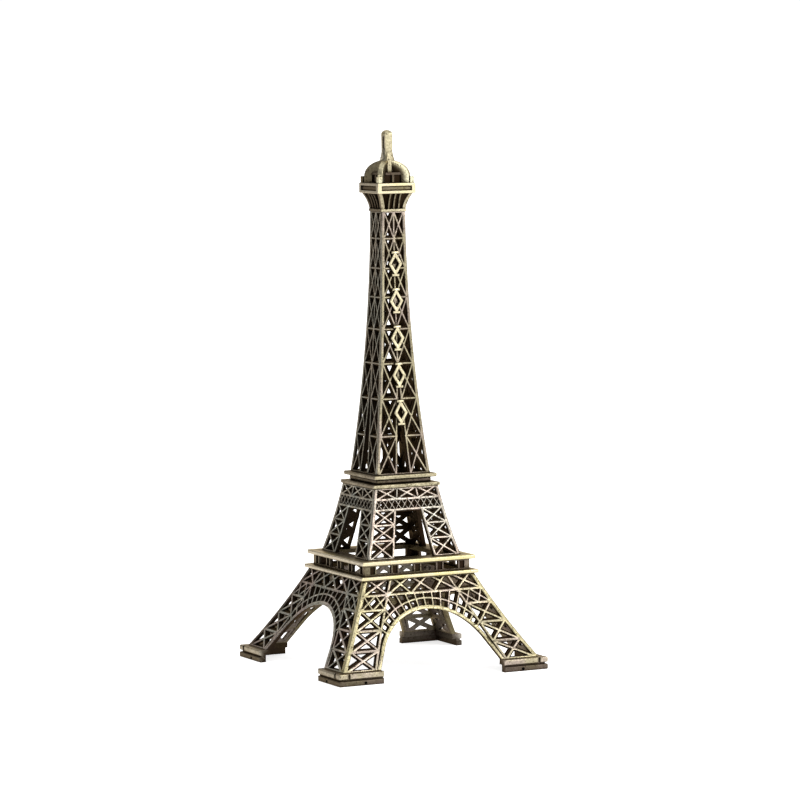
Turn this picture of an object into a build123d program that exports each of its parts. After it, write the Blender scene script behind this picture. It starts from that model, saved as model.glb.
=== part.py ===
"""Miniature four-sided lattice tower, a die-cast ornament, in millimetres.

+Z is up, the origin is the middle of the base and Z = 0 is the underside of the feet.
The front looks towards -Y. Every stage is four flat lattice castings, one on each side,
mitred at the corners and held between platform frames by blind lugs in pockets.
"""
import os
from math import atan2, cos, degrees, radians, sin, sqrt

from build123d import *

os.makedirs("parts", exist_ok=True)

# ---- Overall size -------------------------------------------------------------------------
HEIGHT = 130.0
REACH = 40.0                        # further out than any piece, for cutting prisms

# ---- Corner profile of each stage: (half width, height) at its foot, middle and head ------
BASE_PROFILE = ((26.4, 3.0), (20.24, 12.93), (14.98, 22.85))
MIDDLE_PROFILE = ((12.62, 27.3), (10.39, 35.63), (8.67, 43.95))
SHAFT_PROFILE = ((7.23, 47.0), (4.33, 78.5), (3.21, 110.4))
BASE_WALL = 1.2
MIDDLE_WALL = 1.15
SHAFT_WALL = 1.15
FACE_DEPTH = 0.4                    # how deep the narrow outer faces of the bars go
DRAFT = 0.6                         # how much wider the thin bars are behind them
END_RUN = 0.3                       # how far a bar runs on past its end points

# ---- Feet -----------------------------------------------------------------------------------
PLINTH_HALF = 28.1                  # outer half width of the base
PLINTH_END = 16.25                  # where each foot stops, from the middle of the side
PLINTH_LOWER_TOP = 1.3
PLINTH_GROOVE_TOP = 1.7
PLINTH_TOP = BASE_PROFILE[0][1]
PLINTH_LOWER_INNER = 26.4
PLINTH_UPPER_INNER = 25.2
PLINTH_GROOVE_DEPTH = 0.6
PLINTH_NOTCH = (25.6, 0.8, 0.5)     # place from the middle, width, depth
PLINTH_VENT = (21.2, 0.5, 0.28, 0.5)  # place from the middle, height, radius, depth
LOWER_MOULDING_ROUND = 0.3
UPPER_MOULDING_ROUND = 0.35

# ---- Base lattice ---------------------------------------------------------------------------
BASE_LEVELS = (3.0, 7.25, 11.65, 16.1, 19.35)
BASE_CORNER_BAR = 1.15
BASE_CHORD_BAR = 0.55
BASE_BRACE_BAR = 0.54
INNER_BAR = 0.62
INNER_BAR_HEAD = 9.45               # half spacing of the inner leg bars at the chord
INNER_BAR_SLOPE = 0.5
ARCH_RADIUS = 16.0                  # middle of the arch rim, centred on the ground line
ARCH_RIM = 0.9
ARCH_SPRING = 60.0                  # degrees from the crown to where the rim runs straight
RING_RADIUS = 18.05
RING_BAR = 0.45
RING_END = 44.5                     # degrees from the crown
SPOKE_BAR = 0.45
SPOKE_STEP = 6.9                    # degrees between spokes
SPOKE_COUNT = 8
STAR_NODE_RADIUS = 0.6              # where the inner leg bar meets the chord
# Braces over the chord, each as its place along the chord and along the head.
BASE_HEAD_BRACES = ((3.1, -1.8), (3.1, 6.75), (9.4, 3.2), (9.4, 13.5), (16.0, 8.85))
RAIL = 0.35                         # thin closing rail at the head and foot of a casting

# ---- Middle lattice -------------------------------------------------------------------------
MIDDLE_LEVELS = (27.3, 31.6, 35.25, 38.8)
MIDDLE_CHORD = 41.3
MIDDLE_CORNER_BAR = 0.9
MIDDLE_BRACE_BAR = 0.46
MIDDLE_INNER_HEAD = 3.62
MIDDLE_INNER_SLOPE = 0.182
DIAMOND_PITCH = 1.74
DIAMOND_COUNT = 5
DIAMOND_BAR = 0.28
MIDDLE_HEAD_POST = (2.9, 2.55)      # place along the upper chord and along the head

# ---- Shaft lattice --------------------------------------------------------------------------
SHAFT_LEVELS = (47.0, 56.2, 65.2, 73.7, 82.0, 89.7, 96.7, 103.9, 110.4)
SHAFT_CORNER_BAR = 0.8
SHAFT_BRACE_BAR = 0.46
SPLIT_LEVEL = 73.7                  # below it the middle bar parts in two
SPLIT_FOOT = 1.96

# ---- Platforms ------------------------------------------------------------------------------
FLANGE_HALF = 15.9
FLANGE_TOP = 23.75
FLANGE_OPENING = 12.6
GALLERY_HALF = 14.15
GALLERY_WALL = 0.9
GALLERY_TOP = 26.3
GALLERY_BAY_PITCH = 6.05
GALLERY_BAY = 4.05                  # open width between two pairs of posts
GALLERY_SILL = 0.35
POST_SPACING = 1.85                 # between the two posts of a pair
POST_WIDTH = 0.5
POST_RELIEF = 0.35
DECK_HALF = 15.33
DECK_OPENING = 10.0
LOWER_PLATE_HALF = 9.07
LOWER_PLATE_TOP = 44.85
BAND_HALF = 7.45
BAND_TOP = 46.05
UPPER_PLATE_HALF = 8.49
PLATE_OPENING = 5.6
BAND_OPENING = 6.1
PLATE_ROUND = 0.3                   # edge round of the frames
BAND_ROUND = 0.45

# ---- Lugs and their pockets -----------------------------------------------------------------
LUG_WIDTH = 1.6
LUG_THICK = 0.45
LUG_HEIGHT = 0.5
LUG_PLAY = 0.05
BASE_LUG_SPACING = 43.0             # between the two foot lugs of a base casting
BASE_HEAD_LUG_SPACING = 23.0
MIDDLE_FOOT_LUG_SPACING = 19.0
MIDDLE_HEAD_LUG_SPACING = 12.0
SHAFT_FOOT_LUG_SPACING = 9.0
SHAFT_HEAD_LUG_SPACING = 3.2
SHAFT_LUG_WIDTH = 1.0
PEG_RADIUS = 0.3
PEG_HEIGHT = 0.4

# ---- Capital, crown and cupola --------------------------------------------------------------
CAPITAL_PROFILE = ((3.22, 110.4), (3.63, 112.6), (4.62, 114.8))
CAPITAL_RING_TOP = 111.0
CAPITAL_RING_HALF = 3.4
CAPITAL_CORE_INSET = 0.7
CAPITAL_CORNER = 0.9
CAPITAL_RIB = 0.36
CAPITAL_RIB_PITCH = 1.35
CAPITAL_BORE = 1.7
SPIGOT_RADIUS = 1.95
SPIGOT_HEIGHT = 0.8
CROWN_HALF = 5.15
CROWN_TOP = 117.3
CROWN_FRAME = 1.05                  # end of each face beside its recess
CROWN_RECESS = (1.2, 0.5)           # height, depth
CROWN_PANEL = (0.3, 0.2)            # margin round the raised panel, its rise
CROWN_BORE = 2.0
CROWN_ROUND = 0.2
FOOT_BLOCK = 1.05
FOOT_BLOCK_AT = 6.08                # from the tower's axis, along the diagonal
FOOT_BLOCK_TOP = 118.85
ARCH_OUTER = (5.7, 3.9)             # half axes of the cupola ribs
ARCH_SPRINGING = 118.9
ARCH_THICK = 1.2
LAP_PLAY = 0.02
LANTERN_HALF = 3.2
LANTERN_CORNER = 5.2                # |x| + |y| along its cut corners
LANTERN_TOP = 119.8
LANTERN_PLAY = 0.05
WINDOW = (2.0, 1.9, 0.55)           # width, height to the crown, depth
MULLION = 0.6
MULLION_HEAD = 1.5                  # width of the flare at its top
# Right half of the finial's blade: seen along Y and along X, from its foot to its shoulder.
BLADE_WIDTHS = ((0.62, 119.8), (0.68, 122.0), (0.94, 124.2), (0.98, 129.02))
BLADE_DEPTHS = ((1.35, 119.8), (1.35, 121.6), (1.10, 124.2), (1.12, 128.88))
BLADE_GROOVE = (0.6, 4.6, 126.2, 0.3)  # width, length, height of its middle, depth
FIN_PROFILE = ((2.05, 122.0), (1.5, 123.6), (1.15, 125.6))
FIN_THICK = 0.9
FINIAL_PIN = 0.3
FINIAL_PIN_FOOT = 119.0
FINIAL_PIN_TOP = 124.0

# ---- Raised ornaments on the front of the shaft ---------------------------------------------
ORNAMENT_HEIGHTS = (97.8, 88.85, 79.85, 70.9, 61.9)
ORNAMENT_SIZE = (3.8, 6.1)
ORNAMENT_OPENING = (1.9, 3.1)
ORNAMENT_CAP = (2.0, 0.62)          # cross bar at the top and bottom points
ORNAMENT_RISE = 0.6

QUARTERS = ("front", "right", "back", "left")


def save(part, name):
    """Label a finished piece and write it as its own STEP file."""
    part.label = name
    export_step(part, f"parts/{name}.step")


def save_four(part, name):
    """Write four copies of a piece, turned a quarter apart about the tower's axis."""
    for quarter, suffix in enumerate(QUARTERS):
        with BuildPart() as turned:
            with Locations(Rotation(0, 0, 90 * quarter)):
                add(part)
        save(turned.part, f"{name}_{suffix}")


def half_width(profile, height):
    """Half width of a stage at a height, from the parabola through its three points."""
    total = 0
    for half, z in profile:
        weight = 1
        for _, other in profile:
            if other != z:
                weight *= (height - other) / (z - other)
        total += half * weight
    return total


def strip(start, end, width):
    """Straight bar of the active lattice sketch, run a little past both of its end points."""
    run = Vector(*end) - Vector(*start)
    with Locations((Vector(*start) + Vector(*end)) / 2):
        Rectangle(run.length + 2 * END_RUN, width, rotation=degrees(atan2(run.Y, run.X)))


def arc_strip(radius, start_angle, end_angle, width):
    """Curved bar about the ground line, its angles counted from straight up."""
    middle_angle = (start_angle + end_angle) / 2
    points = [
        (radius * sin(radians(angle)), radius * cos(radians(angle)))
        for angle in (start_angle, middle_angle, end_angle)
    ]
    with BuildLine() as run:
        ThreePointArc(*points)
    trace(run.line, line_width=width)


def corner_bar(profile, width):
    """Bar along the right-hand corner of a stage, wide enough for the mitre to trim."""
    points = [(half - width, height) for half, height in profile]
    outside = profile[0][0] + width
    with BuildLine() as outline:
        inner = ThreePointArc(*points)
        Polyline(inner @ 1, (outside, profile[2][1]), (outside, profile[0][1]), inner @ 0)
    make_face(outline.edges())


def brace_cell(left_low, right_low, left_high, right_high, width):
    """The two crossed braces of one lattice cell."""
    strip(left_low, right_high, width)
    strip(left_high, right_low, width)


def end_rail(profile, height, inner=0.0):
    """Thin closing rail at the head or foot of a casting."""
    outer = profile[0][0] + 1
    with Locations(((inner + outer) / 2, height)):
        Rectangle(outer - inner, RAIL)


def lug(side_spacing, middle_y, low, width=LUG_WIDTH, play=0.0, mode=Mode.ADD):
    """Pair of blind lugs, or with play the pockets that take them."""
    with Locations((-side_spacing / 2, middle_y, low), (side_spacing / 2, middle_y, low)):
        Box(width + 2 * play, LUG_THICK + 2 * play, LUG_HEIGHT + play,
            align=(Align.CENTER, Align.CENTER, Align.MIN), mode=mode)


def pockets(side_spacing, middle_y, low, width=LUG_WIDTH):
    """Pockets for the lugs of all four castings of a stage."""
    for quarter in range(4):
        with Locations(Rotation(0, 0, 90 * quarter)):
            lug(side_spacing, middle_y, low, width, LUG_PLAY, Mode.SUBTRACT)


def layer(profile, near, far, lattice):
    """The lattice between two depths behind a profile, mitred at 45 degrees."""
    outer = [(near - half, height) for half, height in profile]
    inner = [(far - half, height) for half, height in profile]
    with BuildPart() as side:
        extrude(lattice, amount=REACH)
        with BuildSketch(Plane.YZ):
            with BuildLine():
                face_line = ThreePointArc(*outer)
                back_line = ThreePointArc(*inner)
                Line(face_line @ 0, back_line @ 0)
                Line(face_line @ 1, back_line @ 1)
            make_face()
        extrude(amount=REACH, both=True, mode=Mode.INTERSECT)
        with BuildSketch():
            Polygon((0, 0), (-REACH, -REACH), (REACH, -REACH), align=None)
        extrude(amount=HEIGHT, mode=Mode.INTERSECT)
    return side.part


def casting(profile, wall, lattice):
    """One side of a stage: narrow outer faces, backed by the same bars made wider."""
    with BuildPart() as side:
        add(layer(profile, FACE_DEPTH, wall, lattice(DRAFT)))
        add(layer(profile, 0, wall / 2, lattice()))
    return side.part


def frame_ring(ring, low, top, half, opening, edge_round=PLATE_ROUND):
    """Square frame with rounded outer edges and a square opening, in the active part."""
    with Locations((0, 0, (low + top) / 2)):
        Box(2 * half, 2 * half, top - low)
        fillet(ring.edges(), edge_round)
        Box(2 * opening, 2 * opening, top - low, mode=Mode.SUBTRACT)


# ---- Foot plinths ---------------------------------------------------------------------------
def foot_plan(height, outer, inner):
    """L-shaped outline of the foot under the front corner, at a height."""
    with BuildSketch(Plane.XY.offset(height)) as plan:
        Polygon(
            (-outer, -outer), (-PLINTH_END, -outer), (-PLINTH_END, -inner),
            (-inner, -inner), (-inner, -PLINTH_END), (-outer, -PLINTH_END), align=None,
        )
    return plan.sketch


def outside_edges(foot, low):
    """Edges on a foot's outer faces, at or above a height."""
    return foot.edges().filter_by(
        lambda edge: edge.center().Z > low - 0.01
        and min(edge.center().X, edge.center().Y) < 0.05 - PLINTH_HALF
    )


def lug_line(profile, wall, end):
    """Middle of a front casting's thickness at its foot (end 0) or head (end 2)."""
    return wall / 2 - profile[end][0]


BASE_FOOT_LUG_Y = lug_line(BASE_PROFILE, BASE_WALL, 0)

with BuildPart() as plinth:
    extrude(foot_plan(0, PLINTH_HALF, PLINTH_LOWER_INNER), amount=PLINTH_LOWER_TOP)
    fillet(outside_edges(plinth, 0), LOWER_MOULDING_ROUND)
    extrude(
        foot_plan(PLINTH_GROOVE_TOP, PLINTH_HALF, PLINTH_UPPER_INNER),
        amount=PLINTH_TOP - PLINTH_GROOVE_TOP,
    )
    fillet(outside_edges(plinth, PLINTH_GROOVE_TOP), UPPER_MOULDING_ROUND)
    extrude(
        foot_plan(PLINTH_LOWER_TOP, PLINTH_HALF - PLINTH_GROOVE_DEPTH, PLINTH_LOWER_INNER),
        amount=PLINTH_GROOVE_TOP - PLINTH_LOWER_TOP,
    )
    notch_at, notch_width, notch_depth = PLINTH_NOTCH
    notch_tall = PLINTH_TOP - PLINTH_GROOVE_TOP
    notch_middle = (PLINTH_TOP + PLINTH_GROOVE_TOP) / 2
    with Locations((-notch_at, -PLINTH_HALF, notch_middle)):
        Box(notch_width, 2 * notch_depth, notch_tall, mode=Mode.SUBTRACT)
    with Locations((-PLINTH_HALF, -notch_at, notch_middle)):
        Box(2 * notch_depth, notch_width, notch_tall, mode=Mode.SUBTRACT)
    vent_at, vent_height, vent_radius, vent_depth = PLINTH_VENT
    with Locations(
        Location((-vent_at, -PLINTH_HALF, vent_height), (90, 0, 0)),
        Location((-PLINTH_HALF, -vent_at, vent_height), (0, 90, 0)),
    ):
        Cylinder(vent_radius, 2 * vent_depth, mode=Mode.SUBTRACT)
    pockets(BASE_LUG_SPACING, BASE_FOOT_LUG_Y, PLINTH_TOP - LUG_HEIGHT - LUG_PLAY)
save_four(plinth.part, "plinth")


# ---- Base stage: arch, spokes and two half legs on each side ---------------------------------
def inner_leg(height):
    """Half spacing of the inner leg bars at a height."""
    return INNER_BAR_HEAD + INNER_BAR_SLOPE * (BASE_LEVELS[-1] - height)


def corner_node(profile, height, bar_width):
    """Where braces meet the corner bar at a height."""
    return half_width(profile, height) - 0.8 * bar_width


def spoke_end(angle):
    """Distance from the arch centre at which a spoke meets the chord or the inner leg bar."""
    to_chord = BASE_LEVELS[-1] / cos(radians(angle))
    leg_line = INNER_BAR_HEAD + INNER_BAR_SLOPE * BASE_LEVELS[-1]
    to_leg = leg_line / (sin(radians(angle)) + INNER_BAR_SLOPE * cos(radians(angle)))
    return min(to_chord, to_leg)


def base_lattice(spread=0.0):
    """Elevation of one side of the base stage, its thin bars widened by a spread."""
    brace_bar = BASE_BRACE_BAR + spread
    spoke_bar = SPOKE_BAR + spread
    chord = BASE_LEVELS[-1]
    head = BASE_PROFILE[2][1]
    corner_x = [corner_node(BASE_PROFILE, level, BASE_CORNER_BAR) for level in BASE_LEVELS]
    inner_x = [inner_leg(level) for level in BASE_LEVELS]
    with BuildSketch(Plane.XZ) as side:
        corner_bar(BASE_PROFILE, BASE_CORNER_BAR)
        end_rail(BASE_PROFILE, head - RAIL / 2)
        end_rail(BASE_PROFILE, BASE_LEVELS[0] + RAIL / 2, PLINTH_END + RAIL)
        strip((0, chord), (corner_x[-1], chord), BASE_CHORD_BAR + spread)
        strip((inner_leg(head), head), (inner_x[0], BASE_LEVELS[0]), INNER_BAR)
        for chord_place, head_place in BASE_HEAD_BRACES:
            strip((chord_place, chord), (head_place, head), brace_bar)
        for level in range(1, len(BASE_LEVELS) - 1):
            height = BASE_LEVELS[level]
            strip((inner_x[level], height), (corner_x[level], height), brace_bar)
        for low in range(len(BASE_LEVELS) - 2):
            brace_cell(
                (inner_x[low], BASE_LEVELS[low]), (corner_x[low], BASE_LEVELS[low]),
                (inner_x[low + 1], BASE_LEVELS[low + 1]), (corner_x[low + 1], BASE_LEVELS[low + 1]),
                brace_bar,
            )
        low_middle = (inner_x[-2] + corner_x[-2]) / 2
        high_middle = (inner_x[-1] + corner_x[-1]) / 2
        for low_pair, high_pair in (
            ((inner_x[-2], low_middle), (inner_x[-1], high_middle)),
            ((low_middle, corner_x[-2]), (high_middle, corner_x[-1])),
        ):
            brace_cell(
                (low_pair[0], BASE_LEVELS[-2]), (low_pair[1], BASE_LEVELS[-2]),
                (high_pair[0], chord), (high_pair[1], chord), spoke_bar,
            )
        arc_strip(ARCH_RADIUS, 0, ARCH_SPRING, ARCH_RIM)
        spring = (ARCH_RADIUS * sin(radians(ARCH_SPRING)), ARCH_RADIUS * cos(radians(ARCH_SPRING)))
        run_down = (spring[1] - BASE_LEVELS[0]) / sin(radians(ARCH_SPRING))
        strip(spring, (spring[0] + run_down * cos(radians(ARCH_SPRING)), BASE_LEVELS[0]), ARCH_RIM)
        arc_strip(RING_RADIUS, 0, RING_END, RING_BAR + spread)
        for spoke in range(SPOKE_COUNT):
            angle = radians(SPOKE_STEP * spoke)
            end = spoke_end(SPOKE_STEP * spoke)
            strip(
                (ARCH_RADIUS * sin(angle), ARCH_RADIUS * cos(angle)),
                (end * sin(angle), end * cos(angle)), spoke_bar,
            )
        with Locations((INNER_BAR_HEAD, chord)):
            Circle(STAR_NODE_RADIUS)
        mirror(about=Plane.YZ)
    return side.sketch


BASE_HEAD_LUG_Y = lug_line(BASE_PROFILE, BASE_WALL, 2)
base_sheet = casting(BASE_PROFILE, BASE_WALL, base_lattice)

with BuildPart() as base_arch:
    add(base_sheet)
    lug(BASE_LUG_SPACING, BASE_FOOT_LUG_Y, PLINTH_TOP - LUG_HEIGHT)
    lug(BASE_HEAD_LUG_SPACING, BASE_HEAD_LUG_Y, BASE_PROFILE[2][1])
save_four(base_arch.part, "base_arch")


# ---- First platform: flange, gallery and deck ------------------------------------------------
def corner_pegs(half, low, play=0.0, mode=Mode.ADD):
    """Four round pegs near the corners of a frame, or with play their sockets."""
    with Locations((0, 0, low)):
        with GridLocations(2 * half, 2 * half, 2, 2):
            Cylinder(PEG_RADIUS + play, PEG_HEIGHT + play,
                     align=(Align.CENTER, Align.CENTER, Align.MIN), mode=mode)


PEG_HALF = GALLERY_HALF - GALLERY_WALL / 2
MIDDLE_FOOT_LUG_Y = lug_line(MIDDLE_PROFILE, MIDDLE_WALL, 0)

with BuildPart() as lower_flange:
    frame_ring(lower_flange, BASE_PROFILE[2][1], FLANGE_TOP, FLANGE_HALF, FLANGE_OPENING)
    pockets(BASE_HEAD_LUG_SPACING, BASE_HEAD_LUG_Y, BASE_PROFILE[2][1])
    corner_pegs(PEG_HALF, FLANGE_TOP - PEG_HEIGHT - LUG_PLAY, LUG_PLAY, Mode.SUBTRACT)
save(lower_flange.part, "lower_flange")

with BuildPart() as gallery:
    gallery_middle = (FLANGE_TOP + GALLERY_TOP) / 2
    gallery_tall = GALLERY_TOP - FLANGE_TOP
    with Locations((0, 0, gallery_middle)):
        Box(2 * GALLERY_HALF, 2 * GALLERY_HALF, gallery_tall)
        gallery_inside = 2 * (GALLERY_HALF - GALLERY_WALL)
        Box(gallery_inside, gallery_inside, gallery_tall, mode=Mode.SUBTRACT)
    bay_tall = gallery_tall - 2 * GALLERY_SILL
    bay_places = [(bay - 1.5) * GALLERY_BAY_PITCH for bay in range(4)]
    pair_places = [(pair - 2) * GALLERY_BAY_PITCH for pair in range(5)]
    panel_width = POST_SPACING - POST_WIDTH
    for quarter in range(4):
        with Locations(Rotation(0, 0, 90 * quarter)):
            with Locations(*[(x, -GALLERY_HALF, gallery_middle) for x in bay_places]):
                Box(GALLERY_BAY, 3 * GALLERY_WALL, bay_tall, mode=Mode.SUBTRACT)
            with Locations(*[(x, -GALLERY_HALF, gallery_middle) for x in pair_places]):
                Box(panel_width, 2 * POST_RELIEF, bay_tall, mode=Mode.SUBTRACT)
    corner_pegs(PEG_HALF, FLANGE_TOP - PEG_HEIGHT)
    corner_pegs(PEG_HALF, GALLERY_TOP)
save(gallery.part, "gallery_posts")

with BuildPart() as deck:
    frame_ring(deck, GALLERY_TOP, MIDDLE_PROFILE[0][1], DECK_HALF, DECK_OPENING)
    corner_pegs(PEG_HALF, GALLERY_TOP, LUG_PLAY, Mode.SUBTRACT)
    pockets(MIDDLE_FOOT_LUG_SPACING, MIDDLE_FOOT_LUG_Y, MIDDLE_PROFILE[0][1] - LUG_HEIGHT - LUG_PLAY)
save(deck.part, "upper_deck")


# ---- Middle stage ----------------------------------------------------------------------------
def middle_lattice(spread=0.0):
    """Elevation of one side of the middle stage, its thin bars widened by a spread."""
    brace_bar = MIDDLE_BRACE_BAR + spread
    chord_bar = BASE_CHORD_BAR + spread
    top_level = MIDDLE_LEVELS[-1]
    head = MIDDLE_PROFILE[2][1]
    corner_x = [corner_node(MIDDLE_PROFILE, level, MIDDLE_CORNER_BAR) for level in MIDDLE_LEVELS]
    inner_x = [
        MIDDLE_INNER_HEAD + MIDDLE_INNER_SLOPE * (top_level - level) for level in MIDDLE_LEVELS
    ]
    chord_corner = corner_node(MIDDLE_PROFILE, MIDDLE_CHORD, MIDDLE_CORNER_BAR)
    with BuildSketch(Plane.XZ) as side:
        corner_bar(MIDDLE_PROFILE, MIDDLE_CORNER_BAR)
        end_rail(MIDDLE_PROFILE, head - RAIL / 2)
        end_rail(MIDDLE_PROFILE, MIDDLE_PROFILE[0][1] + RAIL / 2, inner_x[0] - INNER_BAR / 2)
        strip((0, top_level), (corner_x[-1], top_level), chord_bar)
        strip((0, MIDDLE_CHORD), (chord_corner, MIDDLE_CHORD), chord_bar)
        strip((inner_x[-1], top_level), (inner_x[0], MIDDLE_LEVELS[0]), INNER_BAR)
        for level in range(1, len(MIDDLE_LEVELS) - 1):
            height = MIDDLE_LEVELS[level]
            strip((inner_x[level], height), (corner_x[level], height), brace_bar)
        for low in range(len(MIDDLE_LEVELS) - 1):
            high = low + 1
            brace_cell(
                (inner_x[low], MIDDLE_LEVELS[low]), (corner_x[low], MIDDLE_LEVELS[low]),
                (inner_x[high], MIDDLE_LEVELS[high]), (corner_x[high], MIDDLE_LEVELS[high]),
                brace_bar,
            )
        for diamond in range(DIAMOND_COUNT):
            left = diamond * DIAMOND_PITCH
            right = left + DIAMOND_PITCH
            brace_cell(
                (left, top_level), (right, top_level),
                (left, MIDDLE_CHORD), (right, MIDDLE_CHORD), DIAMOND_BAR + spread,
            )
        post_foot, post_head = MIDDLE_HEAD_POST
        strip((post_foot, MIDDLE_CHORD), (post_head, head), brace_bar)
        strip((-post_foot, MIDDLE_CHORD), (post_head, head), brace_bar)
        brace_cell(
            (post_foot, MIDDLE_CHORD), (chord_corner, MIDDLE_CHORD),
            (post_head, head), (corner_node(MIDDLE_PROFILE, head, MIDDLE_CORNER_BAR), head),
            brace_bar,
        )
        doorway_foot = (inner_x[0] - INNER_BAR / 2, MIDDLE_LEVELS[0])
        doorway_head = (inner_x[-1] - INNER_BAR / 2, top_level - chord_bar / 2)
        Polygon(
            (0, doorway_foot[1]), doorway_foot, doorway_head, (0, doorway_head[1]),
            align=None, mode=Mode.SUBTRACT,
        )
        mirror(about=Plane.YZ)
    return side.sketch


MIDDLE_HEAD_LUG_Y = lug_line(MIDDLE_PROFILE, MIDDLE_WALL, 2)
middle_sheet = casting(MIDDLE_PROFILE, MIDDLE_WALL, middle_lattice)

with BuildPart() as middle_side:
    add(middle_sheet)
    lug(MIDDLE_FOOT_LUG_SPACING, MIDDLE_FOOT_LUG_Y, MIDDLE_PROFILE[0][1] - LUG_HEIGHT)
    lug(MIDDLE_HEAD_LUG_SPACING, MIDDLE_HEAD_LUG_Y, MIDDLE_PROFILE[2][1])
save_four(middle_side.part, "middle_panel")


# ---- Second platform: lower plate, band and upper plate --------------------------------------
BAND_PEG_HALF = (BAND_HALF + BAND_OPENING) / 2
SHAFT_FOOT_LUG_Y = lug_line(SHAFT_PROFILE, SHAFT_WALL, 0)

with BuildPart() as lower_plate:
    frame_ring(
        lower_plate, MIDDLE_PROFILE[2][1], LOWER_PLATE_TOP, LOWER_PLATE_HALF, PLATE_OPENING
    )
    pockets(MIDDLE_HEAD_LUG_SPACING, MIDDLE_HEAD_LUG_Y, MIDDLE_PROFILE[2][1])
    corner_pegs(BAND_PEG_HALF, LOWER_PLATE_TOP - PEG_HEIGHT - LUG_PLAY, LUG_PLAY, Mode.SUBTRACT)
save(lower_plate.part, "platform_lower_plate")

with BuildPart() as band:
    frame_ring(band, LOWER_PLATE_TOP, BAND_TOP, BAND_HALF, BAND_OPENING, BAND_ROUND)
    corner_pegs(BAND_PEG_HALF, LOWER_PLATE_TOP - PEG_HEIGHT)
    corner_pegs(BAND_PEG_HALF, BAND_TOP)
save(band.part, "platform_band")

with BuildPart() as upper_plate:
    frame_ring(upper_plate, BAND_TOP, SHAFT_PROFILE[0][1], UPPER_PLATE_HALF, PLATE_OPENING)
    corner_pegs(BAND_PEG_HALF, BAND_TOP, LUG_PLAY, Mode.SUBTRACT)
    pockets(
        SHAFT_FOOT_LUG_SPACING, SHAFT_FOOT_LUG_Y,
        SHAFT_PROFILE[0][1] - LUG_HEIGHT - LUG_PLAY, SHAFT_LUG_WIDTH,
    )
save(upper_plate.part, "platform_upper_plate")


# ---- Shaft -----------------------------------------------------------------------------------
def split_bar(height):
    """Half spacing of the two middle bars, which part below the split level."""
    part_way = (SPLIT_LEVEL - height) / (SPLIT_LEVEL - SHAFT_LEVELS[0])
    return SPLIT_FOOT * max(part_way, 0)


def shaft_lattice(spread=0.0):
    """Elevation of one side of the shaft, its thin bars widened by a spread."""
    brace_bar = SHAFT_BRACE_BAR + spread
    foot, head = SHAFT_LEVELS[0], SHAFT_LEVELS[-1]
    corner_x = [corner_node(SHAFT_PROFILE, level, SHAFT_CORNER_BAR) for level in SHAFT_LEVELS]
    with BuildSketch(Plane.XZ) as side:
        corner_bar(SHAFT_PROFILE, SHAFT_CORNER_BAR)
        end_rail(SHAFT_PROFILE, head - RAIL / 2)
        end_rail(SHAFT_PROFILE, foot + RAIL / 2)
        strip((0, SPLIT_LEVEL), (0, head), brace_bar)
        strip((split_bar(SPLIT_LEVEL), SPLIT_LEVEL), (split_bar(foot), foot), brace_bar)
        for level in range(1, len(SHAFT_LEVELS) - 1):
            height = SHAFT_LEVELS[level]
            strip((split_bar(height), height), (corner_x[level], height), brace_bar)
        for low in range(len(SHAFT_LEVELS) - 1):
            low_z, high_z = SHAFT_LEVELS[low], SHAFT_LEVELS[low + 1]
            brace_cell(
                (split_bar(low_z), low_z), (corner_x[low], low_z),
                (split_bar(high_z), high_z), (corner_x[low + 1], high_z), brace_bar,
            )
        mirror(about=Plane.YZ)
    return side.sketch


SHAFT_HEAD_LUG_Y = lug_line(SHAFT_PROFILE, SHAFT_WALL, 2)
shaft_sheet = casting(SHAFT_PROFILE, SHAFT_WALL, shaft_lattice)

with BuildPart() as shaft_side:
    add(shaft_sheet)
    lug(SHAFT_FOOT_LUG_SPACING, SHAFT_FOOT_LUG_Y, SHAFT_PROFILE[0][1] - LUG_HEIGHT, SHAFT_LUG_WIDTH)
    lug(SHAFT_HEAD_LUG_SPACING, SHAFT_HEAD_LUG_Y, SHAFT_PROFILE[2][1], SHAFT_LUG_WIDTH)
save_four(shaft_side.part, "shaft_panel")


# ---- Capital: a flared square core with ribs and corner bars ---------------------------------
def flare(inset):
    """Elevation of the capital in the active sketch, its sides drawn in by an inset."""
    right = [(half - inset, height) for half, height in CAPITAL_PROFILE]
    left = [(inset - half, height) for half, height in CAPITAL_PROFILE]
    with BuildLine() as outline:
        right_side = ThreePointArc(*right)
        left_side = ThreePointArc(*left)
        Line(left_side @ 0, right_side @ 0)
        Line(left_side @ 1, right_side @ 1)
    make_face(outline.edges())


def flared_block(inset):
    """Square block from the shaft up to the crown, its sides on the capital's profile."""
    with BuildPart() as block:
        with BuildSketch(Plane.XZ):
            flare(inset)
        extrude(amount=REACH, both=True)
        with BuildSketch(Plane.YZ):
            flare(inset)
        extrude(amount=REACH, both=True, mode=Mode.INTERSECT)
    return block.part


CAPITAL_FOOT = CAPITAL_PROFILE[0][1]
CAPITAL_TOP = CAPITAL_PROFILE[2][1]
capital_core = flared_block(CAPITAL_CORE_INSET)

with BuildPart() as rib_gaps:
    with BuildSketch(Plane.XZ):
        flare(CAPITAL_CORNER)
        with Locations((0, CAPITAL_FOOT)):
            with GridLocations(CAPITAL_RIB_PITCH, 1, 3, 1):
                Rectangle(CAPITAL_RIB, REACH, mode=Mode.SUBTRACT)
    extrude(amount=REACH)
    add(capital_core, mode=Mode.SUBTRACT)

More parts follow.
